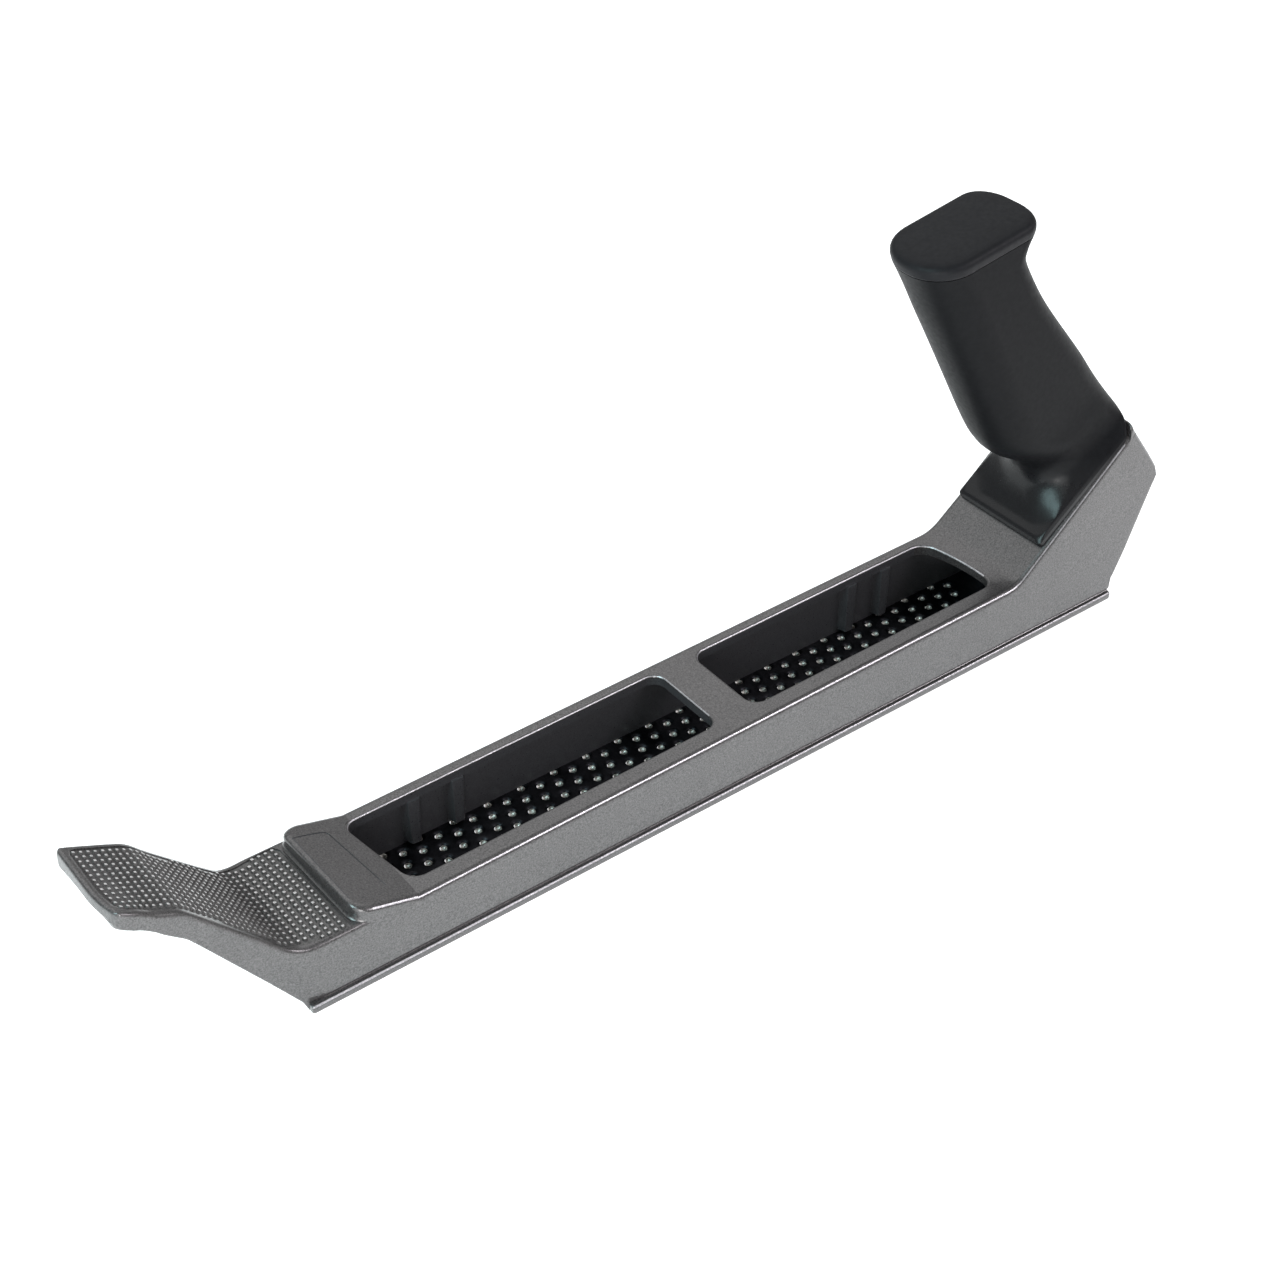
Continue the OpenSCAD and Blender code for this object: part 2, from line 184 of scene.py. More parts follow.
def slice_loop(x):
    """Cross-section of the casting, a closed loop of (y, z), with rounded upper and lower edges."""
    arc = side = 7
    zt, zb = z_on(TOP, x), z_on(UNDER, x)
    ry = lerp_table(EDGE, x)
    uy = lerp_table(UNDER_EDGE, x)
    rz = min(ry / max(math.cos(slope_on(TOP, x)), 0.2), 0.55 * (zt - zb))
    uz = min(uy / max(math.cos(slope_on(UNDER, x)), 0.2), 0.35 * (zt - zb))
    top_half = half_at(x, zt - rz)
    low_half = half_at(x, zb + uz)
    pts = []
    for i in range(4):
        a = -math.pi / 2 + (math.pi / 2) * i / 4
        pts.append((low_half - uy + uy * math.cos(a), zb + uz + uz * math.sin(a)))
    for i in range(side + 1):
        t = i / side
        z = zb + uz + (zt - rz - zb - uz) * t
        pts.append((half_at(x, z), z))
    for i in range(1, arc + 1):
        a = (math.pi / 2) * i / arc
        pts.append((top_half - ry + ry * math.cos(a), zt - rz + rz * math.sin(a)))
    for i in range(1, 4):
        pts.append(((top_half - ry) * (1 - i / 4), zt))
    right = [(y, z) for y, z in pts]
    left = [(-y, z) for y, z in reversed(pts)]
    return right + [(0, zt)] + left


def mesh_object(name, bm):
    bmesh.ops.recalc_face_normals(bm, faces=bm.faces)
    me = bpy.data.meshes.new(name)
    bm.to_mesh(me)
    bm.free()
    ob = bpy.data.objects.new(name, me)
    bpy.context.scene.collection.objects.link(ob)
    return ob


def loft(rings):
    """Closed bmesh from rings of points, each ring a closed loop of the same length."""
    bm = bmesh.new()
    rows = [[bm.verts.new(p) for p in ring] for ring in rings]
    n = len(rows[0])
    for a, b in zip(rows, rows[1:]):
        for i in range(n):
            j = (i + 1) % n
            bm.faces.new((a[i], a[j], b[j], b[i]))
    bm.faces.new(list(reversed(rows[0])))
    bm.faces.new(rows[-1])
    return bm


def freeze(ob):
    """Turn an object's modifiers into its mesh."""
    deps = bpy.context.evaluated_depsgraph_get()
    me = bpy.data.meshes.new_from_object(ob.evaluated_get(deps))
    old = ob.data
    ob.modifiers.clear()
    ob.data = me
    bpy.data.meshes.remove(old)


def carve(ob, cutter, how="DIFFERENCE"):
    """Cut or join a second object, which is used up."""
    m = ob.modifiers.new("cut", "BOOLEAN")
    m.operation = how
    m.solver = "EXACT"
    m.object = cutter
    bpy.context.view_layer.update()
    freeze(ob)
    me = cutter.data
    bpy.data.objects.remove(cutter)
    bpy.data.meshes.remove(me)


def shade(ob, angle=32):
    me = ob.data
    me.shade_smooth()
    me.set_sharp_from_angle(angle=math.radians(angle))
    w = ob.modifiers.new("normals", "WEIGHTED_NORMAL")
    w.keep_sharp = True
    w.weight = 80


def prism(name, pts, half, bevel):
    """Side profile (x, z) spread across the tool from -half to half, with rounded edges."""
    bm = bmesh.new()
    a = [bm.verts.new(at(x, -half, z)) for x, z in pts]
    b = [bm.verts.new(at(x, half, z)) for x, z in pts]
    n = len(pts)
    bm.faces.new(a)
    bm.faces.new(list(reversed(b)))
    for i in range(n):
        j = (i + 1) % n
        bm.faces.new((a[j], a[i], b[i], b[j]))
    ob = mesh_object(name, bm)
    m = ob.modifiers.new("round", "BEVEL")
    m.width = bevel * MM
    m.segments = 3
    m.limit_method = "ANGLE"
    m.angle_limit = math.radians(50)
    bpy.context.view_layer.update()
    freeze(ob)
    return ob


def block(name, x1, x2, y1, y2, z1, z2):
    bm = loft([[at(x, y1, z1), at(x, y2, z1), at(x, y2, z2), at(x, y1, z2)] for x in (x1, x2)])
    return mesh_object(name, bm)


def rod(name, x, y, z, d, length, direction):
    """Round bar from a point along a direction."""
    seg = 40
    u = Vector(direction).normalized()
    v = u.orthogonal().normalized()
    w = u.cross(v)
    c = at(x, y, z)
    ring = [v * math.cos(2 * math.pi * i / seg) * d / 2 * MM
            + w * math.sin(2 * math.pi * i / seg) * d / 2 * MM for i in range(seg)]
    return mesh_object(name, loft([[c + p for p in ring], [c + u * length * MM + p for p in ring]]))


def rounded_outline(x1, x2, half, r, bow):
    """Rounded rectangle in plan; bow pushes the middle of the far end outwards."""
    seg = 8
    out = []
    for cx, cy, a0 in ((x2 - r, half - r, 0), (x1 + r, half - r, 90), (x1 + r, r - half, 180),
                       (x2 - r, r - half, 270)):
        for i in range(seg + 1):
            a = math.radians(a0 + 90 * i / seg)
            x = cx + r * math.cos(a)
            y = cy + r * math.sin(a)
            if bow and cx > (x1 + x2) / 2:
                x -= bow * (y / half) ** 2
            out.append((x, y))
        if bow and a0 == 270:
            for i in range(1, 8):
                y = (half - r) * (i / 4 - 1)
                out.append((x2 - bow * (y / half) ** 2, y))
    return out


def spread(pts, cuts):
    """Extra points along the long sides of a closed outline."""
    out = []
    for (ax, ay), (bx, by), n in zip(pts, pts[1:] + pts[:1], cuts):
        out += [(ax + (bx - ax) * i / n, ay + (by - ay) * i / n) for i in range(n)]
    return out


def window_cutter(x1, x2, r, lip, lean_front, lean_rear, bow):
    """A shaft whose mouth flares into a quarter round where it meets the deck."""
    low, high = WINDOW_Y
    mid, half = (low + high) / 2, (high - low) / 2
    base = rounded_outline(x1, x2, half, r, bow)
    cuts = [max(1, int(math.dist(a, b) / 4)) for a, b in zip(base, base[1:] + base[:1])]
    flare = [(-lip + lip * math.sin(a), lip - lip * math.cos(a))
             for a in [math.radians(d) for d in (15, 30, 45, 60, 75, 90)]]
    rings = []
    for h, grow in [(-14, 0), (-lip, 0)] + flare + [(4, lip)]:
        outline = rounded_outline(x1 - grow, x2 + grow, half + grow, r + grow, bow)
        ring = []
        for x, y in spread(outline, cuts):
            lean = lean_front if x < (x1 + x2) / 2 else lean_rear
            ring.append(at(x - lean * y, y + mid, z_on(TOP, min(x, DECK_END)) + h))
        rings.append(ring)
    return mesh_object("window", loft(rings))


def front_pad():
    """The raised pad in front of the first window: rounded front corners, a cove at its foot."""
    front, edge, base, rear, r = 16.9, 1.7, 16.0, 41.0, 5.4
    foot = [(23.9 - 1.5 * math.cos(a), 1.1 - 1.1 * math.sin(a)) for a in (0.3, 0.6, 0.9, 1.2, 1.5)]
    rings = []
    for z, cove in [(base, 0.0), (21.6, 0.0)] + foot:
        k = (z - base) / (PAD_TOP - edge - base)
        rings.append([at(x, y, base + k * (pad_plane(x) - edge - base))
                      for x, y in pad_outline(front - cove, rear, z, r, 0)])
    for a in range(0, 91, 10):
        inset = edge * (1 - math.cos(math.radians(a)))
        rings.append([at(x, y, pad_plane(x) - edge * (1 - math.sin(math.radians(a))))
                      for x, y in pad_outline(front + inset, rear, 24.5, r - inset, inset)])
    return mesh_object("pad", loft(rings))


def pad_outline(x1, x2, z, r, inset):
    """Plan of the pad at one height, from the near rear corner round the front to the far one."""
    h = HALF - z * DRAFT - 0.03 - 1.35 * inset
    pts = [(x2 - (x2 - x1 - r) * i / 6, -h) for i in range(7)]
    for i in range(1, 11):
        a = math.radians(9 * i)
        pts.append((x1 + r - r * math.sin(a), -(h - r + r * math.cos(a))))
    return pts + [(x, -y) for x, y in reversed(pts)]


def heel_lip():
    """The lip of the casting that stands up behind the grip's foot."""
    crest, foot = 317.0, 60.0
    rings = []
    for x, top in ((LIP_X, 68.4), (LIP_X + 0.25, 68.9), (316.9, 69.1), (317.4, 68.6), (318.2, 67.1),
                   (319.2, 65.25), (320.4, 63.2)):
        h = HALF - 64 * DRAFT - 0.02 - max(0.0, x - crest) * 0.12
        r = 3.0 - max(0.0, x - crest) * 0.4
        ring = [(-h, foot)]
        for a in range(0, 91, 9):
            a = math.radians(a)
            ring.append((-(h - r + r * math.cos(a)), top - r + r * math.sin(a)))
        ring += [(-y, z) for y, z in reversed(ring)]
        rings.append([at(x, y, z) for y, z in ring])
    return mesh_object("lip", loft(rings))


def settle(ob):
    """The cast toe leans a little to the far side and its near corner is pulled back."""
    def smooth(t):
        t = min(1.0, max(0.0, t))
        return t * t * (3 - 2 * t)

    for v in ob.data.vertices:
        x, y = v.co.x / MM - X0, v.co.y / MM
        if y > 0:
            v.co.x -= SKEW * y * smooth((22 - x) / 5) * smooth((x + 36) / 16) * MM
        elif y < -2.5:
            v.co.x += 1.95 * ((-y - 2.5) / 12.5) ** 2 * smooth((-34 - x) / 9) * MM


def add_rails(body):
    """The two sole rails with their rounded outer edge and slightly rounded ends."""
    ends = [(0, 0.6), (0.3, 0.2), (0.9, 0.0), (RAIL_LEN - 0.4, 0.0), (RAIL_LEN + 0.2, 0.2),
            (RAIL_LEN + 0.5, 0.6)]
    inner = SLOT_HALF - 0.6
    for s in (-1, 1):
        rings = []
        for x, k in ends:
            outer, r = HALF + RAIL_OUT - k, 0.8 - k * 0.4
            ring = [(inner, k * 0.4), (outer - r, k * 0.4)]
            ring += [(outer - r + r * math.sin(math.radians(a)), k * 0.4 + r - r * math.cos(math.radians(a)))
                     for a in (22, 45, 68, 90)]
            ring += [(outer - r + r * math.cos(math.radians(a)),
                      RAIL_H - k * 0.4 - r + r * math.sin(math.radians(a))) for a in (0, 22, 45, 68, 90)]
            ring += [(inner, RAIL_H - k * 0.4)]
            rings.append([at(x, s * y, z) for y, z in ring])
        carve(body, mesh_object("rail", loft(rings)), "UNION")


def cut_grooves(body):
    """A groove above each rail."""
    ring = [(HALF - 0.75, RAIL_H + 0.15), (HALF - 0.55, RAIL_H), (HALF + 3, RAIL_H),
            (HALF + 3, RAIL_H + GROOVE_H + 0.7), (HALF + 0.1, RAIL_H + GROOVE_H + 0.5),
            (HALF - 0.25, RAIL_H + GROOVE_H), (HALF - 0.7, RAIL_H + GROOVE_H - 0.3)]
    for s in (-1, 1):
        rings = [[at(x, s * y, z) for y, z in ring] for x in (-6, 330)]
        carve(body, mesh_object("groove", loft(rings)))


def hollow_out(body):
    """The inside of the casting, its windows, the blade's seat and the screw holes."""
    carve(body, prism("cavity", [
        (12, -2), (12, 16), (14, 18), (36, deck_at(36) - WALL), (262, deck_at(262) - WALL), (271, 22.5),
        ramp_pt(8, -RAMP_WALL), ramp_pt(57, -RAMP_WALL), (321, 58), (326, 50.6), (327.4, 44.3), (323.5, 33),
        (317, 20), (305, 18), (304.5, -2)], CAVITY_HALF, 1.5))
    carve(body, prism("toe_pocket", [
        (-4.5, 3), (-31.2, 41.2), (-29.2, 44), (-26.6, 43.8), (-9, 24.2), (-2, 18.6), (8, 18), (8, 3)],
        12.6, 1.2))
    carve(body, window_cutter(36.4, 147.8, r=4.4, lip=0.8, lean_front=0.15, lean_rear=0.0, bow=0.0))
    carve(body, window_cutter(162.0, 264.5, r=4.6, lip=0.9, lean_front=0.0, lean_rear=0.1, bow=1.5))
    carve(body, block("seat", 6, 302, -SLOT_HALF, SLOT_HALF, -1, 1.3))
    carve(body, block("front_gap", 6, 12.5, -CAVITY_HALF, CAVITY_HALF, -1, 10))
    carve(body, rod("head_seat", 311.5, 0, TENSION_Z, 9.6, 20, (1, 0, 0)))
    carve(body, rod("bearing", 300, 0, TENSION_Z, 5.1, 20, (1, 0, 0)))
    ramp_up = (-math.sin(RAMP_A), 0, math.cos(RAMP_A))
    for s in GRIP_SCREWS:
        x, z = ramp_pt(s, -12)
        carve(body, rod("screw_hole", x, 0, z, 5.6, 16, ramp_up))


def add_ribs(body):
    """Upright ribs on the inner side walls, a little wider towards the deck."""
    for x in RIB_X:
        for s in (-1, 1):
            rings = []
            for z, k in ((2.4, 0.0), (deck_at(x) - WALL + 0.4, 0.35)):
                outline = ((-1.3 - k, CAVITY_HALF + 0.4), (-0.5 - k, CAVITY_HALF - 0.7),
                           (0.1 - k, CAVITY_HALF - 2.8), (0.6 - k, CAVITY_HALF - 3.0),
                           (3.0 + k, CAVITY_HALF - 3.0), (3.5 + k, CAVITY_HALF - 2.6),
                           (3.9 + k, CAVITY_HALF + 0.4))
                rings.append([at(x + u, s * v, z) for u, v in outline])
            carve(body, mesh_object("rib", loft(rings)), "UNION")


def sink_field(body):
    """The sunk field on the toe rest, with rounded corners."""
    slices, r, margin = 60, 2.2, 2.3
    rings = []
    for i in range(slices):
        x = FIELD[0] + i * (FIELD[1] - FIELD[0]) / (slices - 1)
        corner = max(0.0, r - min(x - FIELD[0], FIELD[1] - x))
        w = lerp_table(PLAN, x) - margin - (r - math.sqrt(max(0.0, r ** 2 - corner ** 2)))
        z = z_on(TOP, x)
        rings.append([at(x, -w, z - FIELD_DEEP), at(x, w, z - FIELD_DEEP), at(x, w + 0.25, z + 1),
                      at(x, -w - 0.25, z + 1)])
    carve(body, mesh_object("field", loft(rings)))


def cut_panel_line(body):
    """The fine groove that outlines the panel on the front pad."""
    path = [(18.6, 14.9), (21, 14.75), (24, 14.6), (26.6, 14.4), (27.6, 13.9), (28.1, 12.9), (28.6, 8),
            (29.4, 0), (30.2, -8), (30.75, -13.2)]
    rings = []
    for i, (x, y) in enumerate(path):
        a, b = path[max(i - 1, 0)], path[min(i + 1, len(path) - 1)]
        d = Vector((b[0] - a[0], b[1] - a[1])).normalized()
        deep = 0.32 if 0 < i < len(path) - 1 else 0.05
        section = ((-0.26, 0.6), (-0.22, -deep * 0.6), (0, -deep), (0.22, -deep * 0.6), (0.26, 0.6))
        rings.append([at(x - d.y * u, y + d.x * u, pad_plane(x) + h) for u, h in section])
    carve(body, mesh_object("panel_line", loft(rings)))


def make_body():
    body = mesh_object("body_shell", loft([[at(x, y, z) for y, z in slice_loop(x)] for x in stations()]))
    carve(body, front_pad(), "UNION")
    carve(body, heel_lip(), "UNION")
    add_rails(body)
    cut_grooves(body)
    hollow_out(body)
    add_ribs(body)
    sink_field(body)
    cut_panel_line(body)
    settle(body)
    return body


# ---------------------------------------------------------------- materials

class Nodes:
    """A material and short ways to add nodes to it; textures use object coordinates in metres."""

    def __init__(self, name):
        self.mat = bpy.data.materials.new(name)
        self.mat.use_nodes = True
        self.tree = self.mat.node_tree
        self.bsdf = self.tree.nodes["Principled BSDF"]
        self.coord = self.tree.nodes.new("ShaderNodeTexCoord").outputs["Object"]

    def add(self, kind, **values):
        n = self.tree.nodes.new(kind)
        for k, v in values.items():
            setattr(n, k, v)
        return n

    def link(self, a, b):
        self.tree.links.new(a, b)

    def noise(self, scale, detail=2.0, rough=0.5):
        n = self.add("ShaderNodeTexNoise")
        n.inputs["Scale"].default_value = scale
        n.inputs["Detail"].default_value = detail
        n.inputs["Roughness"].default_value = rough
        self.link(self.coord, n.inputs["Vector"])
        return n.outputs["Fac"]

    def cells(self, scale):
        n = self.add("ShaderNodeTexVoronoi")
        n.inputs["Scale"].default_value = scale
        self.link(self.coord, n.inputs["Vector"])
        return n.outputs["Distance"], n.outputs["Color"]

    def ramp(self, fac, stops):
        """Two stops, each a position and a colour."""
        n = self.add("ShaderNodeValToRGB")
        for e, (position, color) in zip(n.color_ramp.elements, stops):
            e.position, e.color = position, (*color, 1)
        self.link(fac, n.inputs["Fac"])
        return n.outputs["Color"]

    def mix(self, fac, a, b):
        """Colour a with a share fac of colour b."""
        n = self.add("ShaderNodeMix", data_type="RGBA")
        n.inputs["Factor"].default_value = fac
        self.link(a, n.inputs[6])
        self.link(b, n.inputs[7])
        return n.outputs[2]

    def times(self, a, b):
        n = self.add("ShaderNodeMath", operation="MULTIPLY")
        self.link(a, n.inputs[0])
        self.link(b, n.inputs[1])
        return n.outputs[0]

    def by_height(self, between, values):
        """A value that changes steadily between two heights, and stays the same past them."""
        split = self.add("ShaderNodeSeparateXYZ")
        self.link(self.coord, split.inputs["Vector"])
        span = self.add("ShaderNodeMapRange")
        span.inputs["From Min"].default_value, span.inputs["From Max"].default_value = between
        span.inputs["To Min"].default_value, span.inputs["To Max"].default_value = values
        self.link(split.outputs["Z"], span.inputs["Value"])
        return span.outputs["Result"]

    def bump(self, height, strength, distance, after=None):
        n = self.add("ShaderNodeBump")
        n.inputs["Strength"].default_value = strength
        n.inputs["Distance"].default_value = distance
        self.link(height, n.inputs["Height"])
        if after:
            self.link(after, n.inputs["Normal"])
        return n.outputs["Normal"]

    def finish(self, color, rough, normal=None, **values):
        for socket, v in (("Base Color", color), ("Roughness", rough), ("Normal", normal)):
            if v is None:
                continue
            if isinstance(v, (int, float)):
                self.bsdf.inputs[socket].default_value = v
            else:
                self.link(v, self.bsdf.inputs[socket])
        for k, v in values.items():
            self.bsdf.inputs[k.replace("_", " ")].default_value = v
        return self.mat


def cast_paint(name, dark, pale, metal=0.7, coat=0.55):
    """Silver-grey metallic paint on a casting: fine flake speckle over soft mottling, thin lacquer."""
    m = Nodes(name)
    flake = m.cells(2200)[1]
    fine = m.noise(2000, 4, 0.6)
    soft = m.noise(50, 3)
    base = m.ramp(fine, [(0.30, dark), (0.70, pale)])
    base = m.mix(0.14, base, m.ramp(flake, [(0.1, dark), (0.9, pale)]))
    base = m.mix(0.06, base, m.ramp(soft, [(0.35, dark), (0.65, pale)]))
    rough = m.ramp(m.noise(1500, 2), [(0.3, (0.27,) * 3), (0.7, (0.42,) * 3)])
    normal = m.bump(m.noise(1300, 2), 0.22, 0.00012)
    normal = m.bump(fine, 0.2, 0.00006, normal)
    return m.finish(base, rough, normal, Metallic=metal, Coat_Weight=coat, Coat_Roughness=0.13)


def black_plastic(name, color, rough_low, rough_high, grain, spec, foot=None):
    """Moulded black plastic with a faint pebble; foot = heights between which it gets shinier downwards."""
    m = Nodes(name)
    cell, _ = m.cells(1900)
    tint = tuple(min(1.0, c * 1.2) for c in color)
    base = m.ramp(m.noise(500, 3), [(0.35, color), (0.65, tint)])
    rough = m.ramp(m.noise(700, 3), [(0.3, (rough_low,) * 3), (0.7, (rough_high,) * 3)])
    normal = m.bump(cell, grain, 0.00005)
    if foot:
        m.link(m.by_height(foot, (0.28, spec)), m.bsdf.inputs["Specular IOR Level"])
        rough = m.times(rough, m.by_height(foot, (0.55, 1.0)))
        return m.finish(base, rough, normal, Metallic=0.0)
    return m.finish(base, rough, normal, Metallic=0.0, Specular_IOR_Level=spec)


def plain_metal(name, dark, pale, rough, scratch):
    """Bare or plated metal with blotches in colour and gloss."""
    m = Nodes(name)
    base = m.ramp(m.noise(220, 4), [(0.3, dark), (0.7, pale)])
    r = m.ramp(m.noise(500, 3), [(0.3, (rough * 0.8,) * 3), (0.7, (rough * 1.25,) * 3)])
    normal = m.bump(m.noise(1400, 2), scratch, 0.00005)
    return m.finish(base, r, normal, Metallic=1.0)


PAINT = cast_paint("cast_body_paint", (0.038, 0.036, 0.0363), (0.155, 0.1475, 0.1485))
# paler paint on the rounded edges, window rims and rail tops: a painted highlight
EDGE_HIGHLIGHT_PAINT = cast_paint("cast_edge_painted_highlight", (0.2, 0.195, 0.205), (0.62, 0.60, 0.625), 0.75, 0.7)
INNER = cast_paint("cast_inside_dark", (0.03, 0.03, 0.033), (0.058, 0.058, 0.062), 0.1, 0.0)
# darker paint on the floor of the toe field and the sides of its bumps: painted shade between the bumps
FIELD_SHADE_PAINT = cast_paint("cast_field_painted_shade", (0.042, 0.040, 0.040), (0.135, 0.130, 0.128), 0.5, 0.2)
# pale paint on the tips of the toe bumps: a painted highlight
BUMP_TIP_HIGHLIGHT = cast_paint("cast_bump_tip_painted_highlight", (0.32, 0.31, 0.31), (0.78, 0.76, 0.76), 0.6, 0.6)
GRIP = black_plastic("grip_plastic", (0.0062, 0.0063, 0.0072), 0.40, 0.50, 0.10, 0.07, (0.052, 0.062))
CAP = black_plastic("cap_plastic", (0.0095, 0.0096, 0.0112), 0.42, 0.52, 0.10, 0.13)
OXIDE = plain_metal("blade_oxide", (0.012, 0.012, 0.014), (0.035, 0.035, 0.04), 0.42, 0.15)
TOOTH = plain_metal("tooth_ground_steel", (0.3, 0.29, 0.27), (0.5, 0.48, 0.45), 0.45, 0.15)
ZINC = plain_metal("zinc_plate", (0.45, 0.46, 0.48), (0.68, 0.69, 0.7), 0.3, 0.1)
BRASS = plain_metal("insert_brass", (0.6, 0.42, 0.16), (0.78, 0.6, 0.3), 0.32, 0.1)


def wear(ob, *mats):
    ob.data.materials.clear()
    for m in mats:
        ob.data.materials.append(m)


# ---------------------------------------------------------------- pieces

PAINT_SLOT, INNER_SLOT, FIELD_SHADE_SLOT, EDGE_HIGHLIGHT_SLOT = range(4)


def casting_slot(x, y, z, n):
    """Which finish a face of the casting takes, from its middle (x, y, z) and its normal n: paint, the dark
    inside, painted shade in the toe field and the panel groove, or a painted highlight on the edges.
    """
    top, side = z_on(TOP, x), abs(y)
    # the groove round the pad's panel takes the dark inside finish: painted shade in the groove
    panel_line = 18 < x < 31.5 and side < 15.3 and pad_plane(x) - 0.5 < z < pad_plane(x) - 0.04
    if panel_line:
        return INNER_SLOT
    # painted highlights: a paler paint on the long upper edges, the window rims and the rail tops
    long_edge_highlight = 22 < x < 315 and side > 17.2 and z > top - 1.9 and 0.56 < abs(n.y) < 0.83 and n.z > 0.3
    window_rim_highlight = (34 < x < 268 and y > WINDOW_Y[0] + 4 and side < 17.6 and z > top - 1.0
                  and n.y <= 0.05 and 0.5 < n.z < 0.9)
    rail_edge_highlight = side > HALF and 1.6 < z < RAIL_H and 0.5 < abs(n.y) < 0.87 and n.z > 0.25
    if long_edge_highlight or window_rim_highlight or rail_edge_highlight:
        return EDGE_HIGHLIGHT_SLOT
    # painted shade: the floor of the sunk field takes a darker paint
    field_z = z_on(TOP, min(max(x, -47), 16)) - FIELD_DEEP
    if FIELD[0] - 1 < x < FIELD[1] + 1 and side < 19 and abs(z - field_z) < 0.25 and n.z > 0.3:
        return FIELD_SHADE_SLOT
    roof = z_on(TOP, min(x, 330)) - (0.7 if 34 < x < 262 else 2.5)
    throat_end = n.x < -0.25 and x > 258 and z > 19
    if 11.5 < x < 326 and side < CAVITY_HALF + 0.3 and 1.2 < z < roof and not throat_end:
        return INNER_SLOT
    return PAINT_SLOT


body = make_body()
wear(body, PAINT, INNER, FIELD_SHADE_PAINT, EDGE_HIGHLIGHT_PAINT)
for f in body.data.polygons:
    middle = f.center / MM
    f.material_index = casting_slot(middle.x - X0, middle.y, middle.z - LIFT, f.normal)
shade(body)
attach(body, "tool")
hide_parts("body_casting")


def toe_bumps():
    """Square grid of small blunt pyramids that follows the toe rest."""
    rng = random.Random(7)
    along, across = 2.1, 2.07
    base, top, height = 0.80, 0.40, 0.64
    sunk = 0.05         # how far a bump's foot goes into the field
    ring = ((1, 1), (0.2, 1.15), (-1, 1), (-1.15, 0.2), (-1, -1), (-0.2, -1.15), (1, -1), (1.15, -0.2))
    walk = [0.0]
    for a, b in zip(TOP, TOP[1:]):
        walk.append(walk[-1] + (b - a).length)

    def on(s):
        """Point and direction at a distance s along the upper profile."""
        for i in range(len(TOP) - 1):
            if s <= walk[i + 1]:
                t = (s - walk[i]) / (walk[i + 1] - walk[i])
                return TOP[i].lerp(TOP[i + 1], t), (TOP[i + 1] - TOP[i]).normalized()
        return TOP[-1], Vector((1, 0))

    bm = bmesh.new()
    s = 0.0
    while on(s)[0].x < FIELD[0] + 1.1 or on(s)[0].y > 60.6:
        s += 0.05
    while on(s)[0].x < FIELD[1] - 1.0:
        p, d = on(s)
        n = Vector((-d.y, d.x))
        w = lerp_table(PLAN, p.x) - 3.0
        for i in range(-9, 10):
            y = across * i
            if abs(y) > w:
                continue
            size = rng.uniform(0.92, 1.06)
            low, high = [], []
            for k, h, out in ((base * size, -FIELD_DEEP - sunk, low),
                              (top * size, height * size - FIELD_DEEP, high)):
                for u, v in ring:
                    u, v = u * k * 0.88, v * k * 0.88
                    out.append(bm.verts.new(at(p.x + d.x * u + n.x * h, y + v, p.y + d.y * u + n.y * h)))
            h = height * size - FIELD_DEEP + 0.09
            tip = bm.verts.new(at(p.x + n.x * h, y, p.y + n.y * h))
            for a in range(8):
                b = (a + 1) % 8
                bm.faces.new((low[a], low[b], high[b], high[a]))
            for a in range(8):
                bm.faces.new((high[a], high[(a + 1) % 8], tip))
            bm.faces.new(list(reversed(low)))
        s += along
    ob = mesh_object("toe_bumps", bm)
    settle(ob)
    return ob


bumps = toe_bumps()
# the bumps' sides take the darker field paint, a painted shade, and their tips a pale paint, a painted
# highlight
wear(bumps, FIELD_SHADE_PAINT, BUMP_TIP_HIGHLIGHT)
for f in bumps.data.polygons:
    tip = len(f.vertices) == 3
    f.material_index = 1 if tip else 0
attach(bumps, "tool")

# Blade seen through the windows: a sheet with punched dimples and a hooded tooth under each opening.
BLADE = dict(x=(7.0, 297.0), half=21.0, top=1.3, thick=0.9,
             pitch=12.4, row=2.6, shift=5.4, rows=15, first=22.4, last=277.0)
CATCH_SLOT = [(13.4, -6), (17.2, -6), (17.2, 6), (13.4, 6)]
HOOK_SLOT = [(283.5, -6.4), (290.6, -6.4), (290.6, 6.4), (283.5, 6.4)]
SHEET_ROUND = 0.00005   # metres
SIDES = 18              # of a dimple
DIMPLE = 2.3


def circle(cx, cy, r):
    return [(cx + r * math.cos(2 * math.pi * i / SIDES), cy + r * math.sin(2 * math.pi * i / SIDES))
            for i in range(SIDES)]


def tooth_centres():
    """Slanting rows of teeth, each row shifted from its neighbour."""
    out = []
    for r in range(BLADE["rows"]):
        y = BLADE["row"] * (r - (BLADE["rows"] - 1) / 2)
        x = BLADE["first"] + BLADE["shift"] * (BLADE["rows"] - 1 - r) % BLADE["pitch"]
        while x <= BLADE["last"]:
            out.append((x, y))
            x += BLADE["pitch"]
    return out


